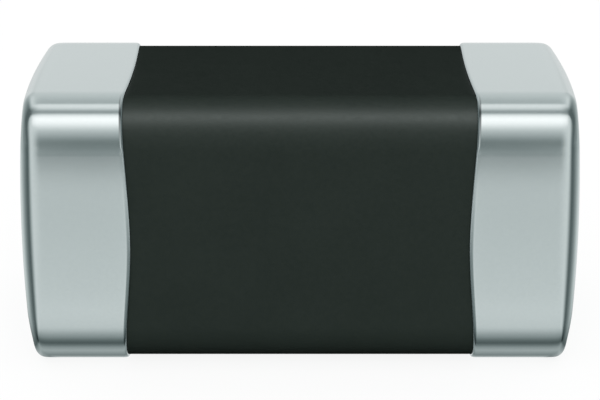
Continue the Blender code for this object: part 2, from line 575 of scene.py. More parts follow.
        full = add_node(
            tree,
            "ShaderNodeCombineXYZ",
            inputs={0: given["Full Width"], 1: given["Full Height"], 2: 1.0},
        ).outputs[0]
        part = add_node(tree, "ShaderNodeVectorMath", {"operation": "DIVIDE"}, {0: inner, 1: full}).outputs[0]
        level = add_node(
            tree, "ShaderNodeVectorMath", {"operation": "DOT_PRODUCT"}, {0: part, 1: part}
        ).outputs["Value"]
        fall = add_node(
            tree, "ShaderNodeMath", {"operation": "MULTIPLY"}, {0: given["Dome Fall"], 1: -4.0}
        ).outputs[0]
        rise = add_node(
            tree, "ShaderNodeMath", {"operation": "MULTIPLY_ADD"}, {0: level, 1: fall, 2: given["Dome Rise"]}
        ).outputs[0]
        depth = add_node(tree, "ShaderNodeMath", {"operation": "MULTIPLY"}, {0: up, 1: -1.0}).outputs[0]
        low_fall = add_node(
            tree,
            "ShaderNodeMapRange",
            {"interpolation_type": "SMOOTHSTEP"},
            {
                "Value": depth,
                "From Min": given["Low Fall Start"],
                "From Max": given["Low Fall End"],
                "To Min": 0.0,
                "To Max": given["Low Fall"],
            },
        ).outputs[0]
        lowered = add_node(
            tree, "ShaderNodeMath", {"operation": "SUBTRACT"}, {0: rise, 1: low_fall}
        ).outputs[0]
        domed = add_node(
            tree,
            "ShaderNodeMath",
            {"operation": "MULTIPLY_ADD"},
            {0: read["dome"], 1: lowered, 2: read["along"]},
        ).outputs[0]
        bowed = add_node(
            tree, "ShaderNodeMath", {"operation": "MULTIPLY"}, {0: read["bow"], 1: read["rim_bow"]}
        ).outputs[0]
        reach = add_node(tree, "ShaderNodeMath", {"operation": "SUBTRACT"}, {0: domed, 1: bowed}).outputs[0]
        turned_x, turned_y = (
            add_node(
                tree, "ShaderNodeMath", {"operation": "MULTIPLY"}, {0: place, 1: given["Turn"]}
            ).outputs[0]
            for place in (reach, across)
        )
        return add_node(
            tree, "ShaderNodeCombineXYZ", inputs={0: turned_x, 1: turned_y, 2: up}
        ).outputs[0]

    def _add_bare_share(self, tree: bpy.types.NodeTree) -> bpy.types.NodeSocket:
        """Add the share of a painted dark reflection: along the bend to the rim, over the upper long edges.

        Args:
            tree: Tree that the nodes go into.

        Returns:
            Output socket with the share, from 0 to 1.
        """
        bend = add_node(
            tree, "GeometryNodeInputNamedAttribute", {"data_type": "FLOAT"}, {"Name": "bend"}
        ).outputs[0]
        out = add_node(
            tree, "GeometryNodeInputNamedAttribute", {"data_type": "FLOAT_VECTOR"}, {"Name": "out"}
        ).outputs[0]
        facing = add_node(tree, "ShaderNodeSeparateXYZ", inputs={0: out}).outputs
        upward = add_node(tree, "ShaderNodeMath", {"operation": "MAXIMUM"}, {0: facing[1], 1: 0.0}).outputs[0]
        half_lean = add_node(
            tree, "ShaderNodeMath", {"operation": "MULTIPLY"}, {0: facing[0], 1: upward}
        ).outputs[0]
        lean = add_node(tree, "ShaderNodeMath", {"operation": "MULTIPLY"}, {0: half_lean, 1: 2.0}).outputs[0]
        corner = add_node(tree, "ShaderNodeMath", {"operation": "MULTIPLY"}, {0: lean, 1: lean}).outputs[0]
        return add_node(tree, "ShaderNodeMath", {"operation": "MULTIPLY"}, {0: corner, 1: bend}).outputs[0]

    def make(
        self, name: str, wall: Sequence[WallPoint], material: bpy.types.Material, side: Side = Side.RIGHT
    ) -> bpy.types.Object:
        """Loft one wall round the section and turn it into a plain mesh.

        Args:
            name: Name of the new piece.
            wall: Points of the wall's profile in order. It starts and ends at the middle of an end.
            material: Material of the piece.
            side: End of the chip that it is turned to.

        Returns:
            The new object, with its faces pointing out.
        """
        carrier = bpy.data.objects.new(name, profile_mesh(name, wall))
        link_to_scene(carrier)
        modifier = carrier.modifiers.new("loft", "NODES")
        modifier.node_group = self.tree
        values: dict[str, Any] = {
            **self._sizes(),
            "Turn": side.turn,
            "Points Round": self.points_round,
            "Material": material,
        }
        set_tree_inputs(modifier, values)
        return finished_piece(carrier, name)


def profile_mesh(name: str, wall: Sequence[WallPoint]) -> bpy.types.Mesh:
    """Draw a wall's profile as a line of edges whose points carry what the loft reads.

    Args:
        name: Name of the mesh.
        wall: Points of the profile in order.

    Returns:
        The mesh, with one float attribute for each field of WallPoint.
    """
    mesh = bpy.data.meshes.new(name + "_profile")
    places = [(index * MICRON, 0.0, 0.0) for index in range(len(wall))]
    mesh.from_pydata(places, [(index, index + 1) for index in range(len(wall) - 1)], [])
    for carried in WALL_ATTRIBUTES:
        attribute = mesh.attributes.new(carried, "FLOAT", "POINT")
        attribute.data.foreach_set("value", [getattr(point, carried) for point in wall])
    return mesh


def set_tree_inputs(modifier: bpy.types.NodesModifier, values: dict[str, Any]) -> None:
    """Set a Geometry Nodes modifier's inputs, each by its socket's identifier.

    Args:
        modifier: Modifier whose tree is already set.
        values: Value of each input, by the name that the tree gives it.
    """
    for item in modifier.node_group.interface.items_tree:
        if item.item_type == "SOCKET" and item.in_out == "INPUT" and item.name in values:
            modifier[item.identifier] = values[item.name]


def finished_piece(carrier: bpy.types.Object, name: str) -> bpy.types.Object:
    """Turn an object's evaluated modifiers into a plain mesh of its own.

    Args:
        carrier: Object with the modifiers; it is removed.
        name: Name of the finished piece.

    Returns:
        The new object at the origin, shaded smooth, with its faces pointing out.
    """
    depsgraph = bpy.context.evaluated_depsgraph_get()
    mesh = bpy.data.meshes.new_from_object(carrier.evaluated_get(depsgraph))
    bpy.data.objects.remove(carrier)
    work = bmesh.new()
    work.from_mesh(mesh)
    bmesh.ops.recalc_face_normals(work, faces=work.faces)
    work.to_mesh(mesh)
    work.free()
    mesh.name = name
    mesh.shade_smooth()
    mesh.set_sharp_from_angle(angle=SHARP_EDGE)
    for spare in RAIL_ATTRIBUTES + WALL_ATTRIBUTES:
        if spare in mesh.attributes and spare not in SHADED_ATTRIBUTES:
            mesh.attributes.remove(mesh.attributes[spare])
    piece = bpy.data.objects.new(name, mesh)
    link_to_scene(piece)
    return piece


# ---------------------------------------------------------------- finishes


@dataclass(frozen=True)
class SinteredOxide:
    """Sintered manganese-nickel-cobalt oxide ceramic: a dense, near-black block with a dull skin.

    Its grain is too fine to see one by one, so light spreads widely on it and only the tumbled edges
    glint softly. Its pores are darkened in colour, a painted shade in the pits: a pore is darkest within
    pore_core of its cell's middle and gone at pore_edge, both as shares of pore_mm, and pore_tone is what
    is left of the tone in it. grain_low and grain_high are the grain's usual range.
    """

    dark: str = "212a26"
    pale: str = "2b342f"
    grain_mm: float = 0.012
    cloud_mm: float = 0.22
    pore_mm: float = 0.055
    pore_core: float = 0.03
    pore_edge: float = 0.10
    pore_tone: float = 0.6
    cloud_share: float = 0.45
    roughness: float = 0.47
    roughness_swing: float = 0.04
    grain_low: float = 0.3
    grain_high: float = 0.7
    specular: float = 0.36
    relief_mm: float = 0.0005
    relief_strength: float = 0.35

    def material(self) -> bpy.types.Material:
        """Build the material.

        Returns:
            The material.
        """
        made = bpy.data.materials.new("sintered_oxide_ceramic")
        made.use_nodes = True
        tree = made.node_tree
        shader = tree.nodes["Principled BSDF"]
        shader.inputs["Specular IOR Level"].default_value = self.specular
        place = add_node(tree, "ShaderNodeTexCoord").outputs["Object"]
        grain = add_node(
            tree,
            "ShaderNodeTexNoise",
            inputs={"Vector": place, "Scale": per_metre(self.grain_mm), "Detail": 3.0, "Roughness": 0.6},
        ).outputs["Fac"]
        cloud = add_node(
            tree,
            "ShaderNodeTexNoise",
            inputs={"Vector": place, "Scale": per_metre(self.cloud_mm), "Detail": 2.0},
        ).outputs["Fac"]
        pores = add_node(
            tree,
            "ShaderNodeTexVoronoi",
            {"feature": "F1"},
            {"Vector": place, "Scale": per_metre(self.pore_mm), "Randomness": 1.0},
        ).outputs["Distance"]
        pit = add_node(
            tree,
            "ShaderNodeMapRange",
            {"interpolation_type": "SMOOTHSTEP"},
            {
                "Value": pores,
                "From Min": self.pore_core,
                "From Max": self.pore_edge,
                "To Min": self.pore_tone,
                "To Max": 1.0,
            },
        ).outputs[0]
        tone = add_node(
            tree, "ShaderNodeMix", {"data_type": "FLOAT"}, {"Factor": self.cloud_share, 2: grain, 3: cloud}
        ).outputs[0]
        # Pores darken the colour: painted shade in the pits.
        pore_shaded_tone = add_node(tree, "ShaderNodeMath", {"operation": "MULTIPLY"}, {0: tone, 1: pit}).outputs[0]
        colour = add_node(
            tree,
            "ShaderNodeMix",
            {"data_type": "RGBA"},
            {"Factor": pore_shaded_tone, 6: linear(self.dark), 7: linear(self.pale)},
        ).outputs[2]
        tree.links.new(colour, shader.inputs["Base Color"])
        dull = add_node(
            tree,
            "ShaderNodeMapRange",
            inputs={
                "Value": grain,
                "From Min": self.grain_low,
                "From Max": self.grain_high,
                "To Min": self.roughness - self.roughness_swing,
                "To Max": self.roughness + self.roughness_swing,
            },
        ).outputs[0]
        tree.links.new(dull, shader.inputs["Roughness"])
        relief = add_node(tree, "ShaderNodeMath", {"operation": "MULTIPLY"}, {0: grain, 1: pit}).outputs[0]
        bump = add_node(
            tree,
            "ShaderNodeBump",
            inputs={"Strength": self.relief_strength, "Distance": self.relief_mm * MM, "Height": relief},
        )
        tree.links.new(bump.outputs[0], shader.inputs["Normal"])
        return made


@dataclass(frozen=True)
class PlatedMetal:
    """Thin electroplated or fired metal skin, with a fine crystal grain and a slow unevenness.

    Where tumbling and handling have burnished the edges, the "wear" attribute makes it smoother. Out on
    the rim, the "rim" attribute makes it greyer and duller, because the skin thins out there. Where it
    bends to the rim over the upper long edges, a dark line is painted into its colour: a painted dark
    reflection.
    wave_low and wave_high are the unevenness's usual range.
    """

    name: str
    colour: str
    deep_colour: str
    roughness: float
    worn_roughness: float
    rim_colour: str
    rim_roughness: float
    bare_colour: str
    grain_mm: float
    wave_mm: float
    grain_depth_mm: float
    wave_depth_mm: float
    wave_share: float = 0.5
    wave_low: float = 0.2
    wave_high: float = 0.8
    roughness_swing: float = 0.01

    def material(self) -> bpy.types.Material:
        """Build the material.

        Returns:
            The material.
        """
        made = bpy.data.materials.new(self.name)
        made.use_nodes = True
        tree = made.node_tree
        shader = tree.nodes["Principled BSDF"]
        shader.inputs["Metallic"].default_value = 1.0
        place = add_node(tree, "ShaderNodeTexCoord").outputs["Object"]
        crystals = add_node(
            tree,
            "ShaderNodeTexVoronoi",
            {"feature": "F1"},
            {"Vector": place, "Scale": per_metre(self.grain_mm), "Randomness": 1.0},
        )
        speck = add_node(tree, "ShaderNodeSeparateColor", inputs={0: crystals.outputs["Color"]}).outputs[0]
        wave = add_node(
            tree,
            "ShaderNodeTexNoise",
            inputs={"Vector": place, "Scale": per_metre(self.wave_mm), "Detail": 2.0},
        ).outputs["Fac"]
        worn = add_node(tree, "ShaderNodeAttribute", {"attribute_name": "wear"}).outputs["Fac"]
        thin = add_node(tree, "ShaderNodeAttribute", {"attribute_name": "rim"}).outputs["Fac"]
        bare = add_node(tree, "ShaderNodeAttribute", {"attribute_name": "bare"}).outputs["Fac"]
        mottled = add_node(
            tree, "ShaderNodeMix", {"data_type": "FLOAT"}, {"Factor": self.wave_share, 2: speck, 3: wave}
        ).outputs[0]
        colour = add_node(
            tree,
            "ShaderNodeMix",
            {"data_type": "RGBA"},
            {"Factor": mottled, 6: linear(self.deep_colour), 7: linear(self.colour)},
        ).outputs[2]
        greyed = add_node(
            tree,
            "ShaderNodeMix",
            {"data_type": "RGBA"},
            {"Factor": thin, 6: colour, 7: linear(self.rim_colour)},
        ).outputs[2]
        # Painted dark reflection along the bend to the rim, over the upper long edges.
        reflection_painted = add_node(
            tree,
            "ShaderNodeMix",
            {"data_type": "RGBA"},
            {"Factor": bare, 6: greyed, 7: linear(self.bare_colour)},
        ).outputs[2]
        tree.links.new(reflection_painted, shader.inputs["Base Color"])
        grained = add_node(
            tree,
            "ShaderNodeMapRange",
            inputs={
                "Value": wave,
                "From Min": self.wave_low,
                "From Max": self.wave_high,
                "To Min": self.roughness - self.roughness_swing,
                "To Max": self.roughness + self.roughness_swing,
            },
        ).outputs[0]
        smoothed = add_node(
            tree,
            "ShaderNodeMix",
            {"data_type": "FLOAT"},
            {"Factor": worn, 2: grained, 3: self.worn_roughness},
        ).outputs[0]
        dulled = add_node(
            tree,
            "ShaderNodeMix",
            {"data_type": "FLOAT"},
            {"Factor": thin, 2: smoothed, 3: self.rim_roughness},
        ).outputs[0]
        tree.links.new(dulled, shader.inputs["Roughness"])
        swell = add_node(
            tree,
            "ShaderNodeBump",
            inputs={"Strength": 1.0, "Distance": self.wave_depth_mm * MM, "Height": wave},
        )
        bump = add_node(
            tree,
            "ShaderNodeBump",
            inputs={
                "Strength": 1.0,
                "Distance": self.grain_depth_mm * MM,
                "Height": crystals.outputs["Distance"],
                "Normal": swell.outputs[0],
            },
        )
        tree.links.new(bump.outputs[0], shader.inputs["Normal"])
        return made


# Electroplated matte tin: cool light grey, satin from its fine crystals, burnished by tumbling in the
# plating barrel. Its crystals of 2 to 5 microns are drawn at 6 so that they show.
MATTE_TIN = PlatedMetal(
    name="electroplated_matte_tin",
    colour="c6d0d0",
    deep_colour="c3cdcd",
    roughness=0.16,
    worn_roughness=0.14,
    rim_colour="b4bfc0",
    rim_roughness=0.26,
    # Colour of the painted dark reflection.
    bare_colour="3c4243",
    grain_mm=0.006,
    wave_mm=0.12,
    grain_depth_mm=0.000004,
    wave_depth_mm=0.0001,
)

# Electroplated nickel: warmer and a little brighter than tin, even and satin.
SATIN_NICKEL = PlatedMetal(
    name="electroplated_nickel",
    colour="d6cdbf",
    deep_colour="cbc2b4",
    roughness=0.3,
    worn_roughness=0.26,
    rim_colour="b9b1a4",
    rim_roughness=0.38,
    bare_colour="8f887c",
    grain_mm=0.005,
    wave_mm=0.1,
    grain_depth_mm=0.00003,
    wave_depth_mm=0.0001,
)

# Fired silver paste: pale and dull, rough from its glass frit and pores.
FIRED_SILVER = PlatedMetal(
    name="fired_silver_paste",
    colour="e6e4df",
    deep_colour="cfccc5",
    roughness=0.5,
    worn_roughness=0.45,
    rim_colour="b9b6af",
    rim_roughness=0.6,
    bare_colour="8d8a84",
    grain_mm=0.009,
    wave_mm=0.07,
    grain_depth_mm=0.0002,
    wave_depth_mm=0.0003,
)

# Screen-printed silver-palladium ink, fired inside the block: grey and grainy.
ELECTRODE_INK = PlatedMetal(
    name="silver_palladium_ink",
    colour="ceccc7",
    deep_colour="b3b0aa",
    roughness=0.55,
    worn_roughness=0.5,
    rim_colour="b3b0aa",
    rim_roughness=0.55,
    bare_colour="b3b0aa",
    grain_mm=0.006,
    wave_mm=0.05,
    grain_depth_mm=0.0001,
    wave_depth_mm=0.0001,
)


# ---------------------------------------------------------------- pieces


@dataclass
class CeramicBlock:
    """The sintered block, with a slot in it for each printed electrode."""

    form: ChipForm
    edge_steps: int = 10
    end_steps: int = 4

    def wall(self) -> list[WallPoint]:
        """Draw the block's profile from the middle of its right end to the middle of its left end.

        Returns:
            Its points in order.
        """
        form = self.form
        half: list[WallPoint] = [
            WallPoint(along=form.ceramic_length / 2, share=step / self.end_steps)
            for step in range(self.end_steps)
        ]
        for step in range(self.edge_steps + 1):
            angle = math.pi / 2 * step / self.edge_steps
            half.append(
                WallPoint(
                    along=form.edge_centre_x + form.end_edge_radius * math.cos(angle),
                    outward=form.end_edge_radius * math.sin(angle),
                    wear=math.sin(2 * angle),
                )
            )
        mirrored = [
            WallPoint(along=-point.along, outward=point.outward, share=point.share, wear=point.wear)
            for point in reversed(half)
        ]
        return half + mirrored

    def make(self, loft: SectionLoft, stacks: Iterable["ElectrodeStack"]) -> bpy.types.Object:
        """Loft the block and cut the electrodes' slots.

        Args:
            loft: Loft round the chip's section.
            stacks: Stacks of electrodes that need slots.

        Returns:
            The finished block.
        """
        block = loft.make("ceramic_block", self.wall(), SinteredOxide().material())
        cutters = [stack.make_cutter() for stack in stacks]
        for cutter in cutters:
            cut = block.modifiers.new(cutter.name, "BOOLEAN")
            cut.operation = "DIFFERENCE"
            cut.solver = "EXACT"
            cut.object = cutter
        block = finished_piece(block, "ceramic_block")
        for cutter in cutters:
            bpy.data.objects.remove(cutter)
        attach(block, "root")
        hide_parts("ceramic_body")
        return block


@dataclass
class ElectrodeStack:
    """The printed plates that start at one end, as one plate repeated up the block."""

    side: Side
    first_centre: Vector
    size: Vector
    pitch: float
    count: int
    clearance: float
    overrun: float

    @classmethod
    def from_frame(cls, side: Side, form: ChipForm) -> "ElectrodeStack":
        """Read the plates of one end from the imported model.

        Args:
            side: End of the chip that the plates start at.
            form: Sizes of the chip.

        Returns:
            The stack.
        """
        names = sorted(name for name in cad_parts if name.startswith(f"inner_electrode_{side.value}_"))
        boxes = [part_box(name) for name in names]
        centres = [(low + high) / 2 for low, high in boxes]
        low, high = boxes[0]
        return cls(
            side=side,
            first_centre=centres[0],
            size=high - low,
            pitch=(centres[-1].z - centres[0].z) / (len(centres) - 1),
            count=len(centres),
            clearance=form.clearance,
            overrun=form.dome_rise,
        )

    @property
    def node_names(self) -> list[str]:
        """Names of the CAD nodes that the stack stands for."""
        return [f"inner_electrode_{self.side.value}_{index + 1}" for index in range(self.count)]

    def make(self) -> bpy.types.Object:
        """Print the plates.

        Returns:
            The finished plates.
        """
        stack = self._repeated(
            f"inner_electrodes_{self.side.value}", self.first_centre, self.size, ELECTRODE_INK.material()
        )
        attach(stack, "root")
        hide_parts(*self.node_names)
        return stack

    def make_cutter(self) -> bpy.types.Object:
        """Make the slots' cutter: plates wider all round, which run out past their end of the block.

        Returns:
            The cutter.
        """
        grown = self.size + Vector((self.clearance + self.overrun, 2 * self.clearance, 2 * self.clearance))
        shift = Vector((self.side.turn * (self.overrun - self.clearance) / 2, 0, 0))
        return self._repeated(f"slots_{self.side.value}", self.first_centre + shift, grown, None)

    def _repeated(
        self, name: str, first_centre: Vector, size: Vector, material: bpy.types.Material | None
    ) -> bpy.types.Object:
        """Repeat a plate up the block by Geometry Nodes.

        Args:
            name: Name of the piece.
            first_centre: Centre of the lowest plate.
            size: Size of each plate.
            material: Material of the plates, where they have one.

        Returns:
            The plates as one plain mesh.
        """
        carrier = bpy.data.objects.new(name, bpy.data.meshes.new(name))
        link_to_scene(carrier)
        modifier = carrier.modifiers.new("repeat", "NODES")
        modifier.node_group = plate_stack_tree()
        values: dict[str, Any] = {
            "Plates": self.count,
            "Pitch": self.pitch,
            "Plate Size": size,
            "Lowest Centre": first_centre,
        }
        if material is not None:
            values["Material"] = material
        set_tree_inputs(modifier, values)
        return finished_piece(carrier, name)


def plate_stack_tree() -> bpy.types.GeometryNodeTree:
    """Give the tree that repeats a plate up a line, and build it the first time.

    Returns:
        The node tree.
    """
    name = "repeat_plate_up_block"
    if name in bpy.data.node_groups:
        return bpy.data.node_groups[name]
    tree = bpy.data.node_groups.new(name, "GeometryNodeTree")
    tree.interface.new_socket("Geometry", in_out="OUTPUT", socket_type="NodeSocketGeometry")
    for socket_name, kind in (
        ("Plates", "NodeSocketInt"),
        ("Pitch", "NodeSocketFloat"),
        ("Plate Size", "NodeSocketVector"),
        ("Lowest Centre", "NodeSocketVector"),
        ("Material", "NodeSocketMaterial"),
    ):
        tree.interface.new_socket(socket_name, in_out="INPUT", socket_type=kind)
    given = add_node(tree, "NodeGroupInput").outputs
    plate = add_node(tree, "GeometryNodeMeshCube", inputs={"Size": given["Plate Size"]})
    step = add_node(tree, "ShaderNodeCombineXYZ", inputs={2: given["Pitch"]})
    line = add_node(
        tree,
        "GeometryNodeMeshLine",
        {"mode": "OFFSET"},
        {"Count": given["Plates"], "Start Location": given["Lowest Centre"], "Offset": step.outputs[0]},
    )
    plates = add_node(
        tree,
        "GeometryNodeInstanceOnPoints",
        inputs={"Points": line.outputs[0], "Instance": plate.outputs[0]},
    )
    real = add_node(tree, "GeometryNodeRealizeInstances", inputs={"Geometry": plates.outputs[0]})
    dressed = add_node(
        tree,
        "GeometryNodeSetMaterial",
        inputs={"Geometry": real.outputs[0], "Material": given["Material"]},
    )
    add_node(tree, "NodeGroupOutput", inputs={0: dressed.outputs[0]})
    return tree


@dataclass
class EndCap:
    """The three skins of one end: fired silver, nickel barrier and matte tin.

    grey_at and grey_half_width place the grey line on the rim, as shares of the rim's reach, and bend_at
    and bend_half_width the line where the wall bends down to it.
    """

    form: ChipForm
    side: Side
    dome_steps: int = 20
    edge_steps: int = 14
    ease_steps: int = 6
    rim_steps: int = 16
    grey_at: float = 0.85
    grey_half_width: float = 0.3
    bend_at: float = 0.56
    bend_half_width: float = 0.25

    def surface(self, offset: float) -> list[WallPoint]:
        """Draw a surface of the cap from the middle of the end to the rim's foot.

        Args:
            offset: Distance of the surface from the ceramic.

        Returns:
            Its points in order.
        """
        form = self.form
        radius = form.end_edge_radius + offset
        last = math.pi / 2 - form.edge_ease_angle
        climb = math.tan(form.edge_ease_angle) * form.edge_ease / 2
        fall = climb - radius * (1 - math.sin(last))
        points = [
            WallPoint(along=form.edge_centre_x + radius, share=step / self.dome_steps, dome=1.0)
            for step in range(self.dome_steps)
        ]
        for step in range(self.edge_steps + 1):
            angle = last * step / self.edge_steps
            points.append(
                WallPoint(
                    along=form.edge_centre_x + radius * math.cos(angle),
                    outward=radius * math.sin(angle) - fall * step / self.edge_steps,
                    dome=math.cos(angle),
                    wear=math.sin(2 * angle),
                )
            )
        for step in range(1, self.ease_steps + 1):
            part = step / self.ease_steps
            points.append(
                WallPoint(
                    along=form.edge_centre_x + radius * math.cos(last) - form.edge_ease * part,
                    outward=radius - climb * (1 - part) ** 2,
                    dome=math.cos(last) * (1 - part),
                )
            )
        growth = offset - form.silver_offset
        foot = form.end_edge_radius + form.clearance
        for step in range(self.rim_steps + 1):
            angle = math.pi / 2 * (1 - step / self.rim_steps)
            reach = max(0.0, math.cos(angle)) ** (2 / form.rim_fullness)
            height = max(0.0, math.sin(angle)) ** (2 / form.rim_fullness)
            points.append(
                WallPoint(
                    along=form.crown_x - (form.rim_rounding + growth) * reach,
                    outward=foot + (form.silver_thickness + growth) * height,
                    bow=1.0,
                    wear=math.sin(2 * angle),
                    rim=max(0.0, 1 - abs(reach - self.grey_at) / self.grey_half_width),
                    # The bend line carries the painted dark reflection over the upper long edges.
                    bend=max(0.0, 1 - abs(reach - self.bend_at) / self.bend_half_width),
                )
            )
        return points

    def under_silver(self) -> list[WallPoint]:
        """Draw the silver's inner surface, which follows the ceramic and its flat end.

        Returns:
            Its points from the middle of the end to the rim's foot.
        """
        form = self.form
        radius = form.end_edge_radius + form.clearance
        points = [WallPoint(along=form.edge_centre_x + radius, share=0.0)]
        for step in range(self.edge_steps + 1):
            angle = math.pi / 2 * step / self.edge_steps
            points.append(
                WallPoint(
                    along=form.edge_centre_x + radius * math.cos(angle), outward=radius * math.sin(angle)
                )
            )
        return points

    def wall(self, skin: Skin) -> list[WallPoint]:
        """Draw one skin's closed wall: its outer surface out to the rim, and its inner surface back.

        Args:
            skin: Which skin.

        Returns:
            The wall's points in order.
        """
        form = self.form
        if skin is Skin.SILVER:
            return self.surface(form.silver_offset) + self.under_silver()[::-1]
        outer, under = {
            Skin.NICKEL: (form.nickel_offset, form.silver_offset),
            Skin.TIN: (form.tin_offset, form.nickel_offset),
        }[skin]
        return self.surface(outer) + self.surface(under + form.clearance)[::-1]

    def make(self, loft: SectionLoft, finishes: dict[Skin, bpy.types.Material]) -> list[bpy.types.Object]:
        """Loft the three skins.

        Args:
            loft: Loft round the chip's section.
            finishes: Material of each skin.

        Returns:
            The three pieces, from the ceramic outwards.
        """
        made = []
        for skin in Skin:
            node = f"{skin.value}_{self.side.value}"
            piece = loft.make(f"{node}_skin", self.wall(skin), finishes[skin], self.side)
            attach(piece, "root")
            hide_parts(node)
            made.append(piece)
        return made


# ---------------------------------------------------------------- studio


@dataclass(frozen=True)
class Tone:
    """Brightness of the studio at one place of a run: an angle in degrees or a distance in millimetres."""

    at: float
    level: float


def add_tones(
    tree: bpy.types.NodeTree, value: bpy.types.NodeSocket, tones: Sequence[Tone]
) -> bpy.types.NodeSocket:
    """Add nodes that turn a value into the brightness that a run of tones has there.

    Args:
        tree: Tree that the nodes go into.
        value: Angle or distance, in the tones' unit.
        tones: Tones in rising order.

    Returns:
        Output socket with the brightness.
    """
    first, last = tones[0].at, tones[-1].at
    brightest = max(tone.level for tone in tones)
    part = add_node(tree, "ShaderNodeMapRange", inputs={"Value": value, "From Min": first, "From Max": last})
    ramp = add_node(tree, "ShaderNodeValToRGB", inputs={0: part.outputs[0]})
    stops = ramp.color_ramp.elements
    while len(stops) < len(tones):
        stops.new(0.5)
    for stop, tone in zip(stops, tones):
        stop.position = (tone.at - first) / (last - first)
        share = tone.level / brightest
        stop.color = (share, share, share, 1.0)
    return add_node(
        tree, "ShaderNodeMath", {"operation": "MULTIPLY"}, {0: ramp.outputs[0], 1: brightest}
    ).outputs[0]


def add_blends(
    tree: bpy.types.NodeTree,
    value: bpy.types.NodeSocket,
    level: bpy.types.NodeSocket,
    blends: Iterable[tuple[float | bpy.types.NodeSocket, float | bpy.types.NodeSocket, Setting]],
) -> bpy.types.NodeSocket:
    """Add nodes that blend a brightness into others in turn, as a value rises through a span for each.

    Args:
        tree: Tree that the nodes go into.
        value: Angle, distance or share that the spans are in.
        level: Brightness before the first span.
        blends: Start and end of each span, and the brightness past it.

    Returns:
        Output socket with the brightness.
    """
    for start, end, target in blends:
        share = add_node(
            tree,
            "ShaderNodeMapRange",
            {"interpolation_type": "SMOOTHSTEP"},
            {"Value": value, "From Min": start, "From Max": end},
        )
        level = add_node(
            tree, "ShaderNodeMix", {"data_type": "FLOAT"}, {"Factor": share.outputs[0], 2: level, 3: target}
        ).outputs[0]
    return level


@dataclass(frozen=True)
class SoftLamp:
    """Rectangular lamp in front of the chip and above it, which faces the chip's centre.

    along is its size along X and across its size square to that. level is the brightness of its face,
    where 1 is white.
    """

    name: str
    elevation_deg: float
    distance: float
    along: float
    across: float
    level: float
    colour: tuple[float, float, float] = (0.93, 1.0, 0.98)

    def build(self) -> bpy.types.Object:
        """Build the lamp, unseen by the camera.

        Returns:
            The lamp.
        """
        data = bpy.data.lights.new(self.name, "AREA")
        data.shape = "RECTANGLE"
        data.size = self.along
        data.size_y = self.across
        data.energy = self.level * math.pi * self.along * self.across
        data.color = self.colour
        rise = math.radians(self.elevation_deg)
        place = Vector((0, -math.cos(rise), math.sin(rise))) * self.distance
        lamp = bpy.data.objects.new(self.name, data)
        lamp.location = place
        lamp.rotation_euler = (-place).to_track_quat("-Z", "Y").to_euler()
        lamp.visible_camera = False
        link_to_scene(lamp)
        return lamp


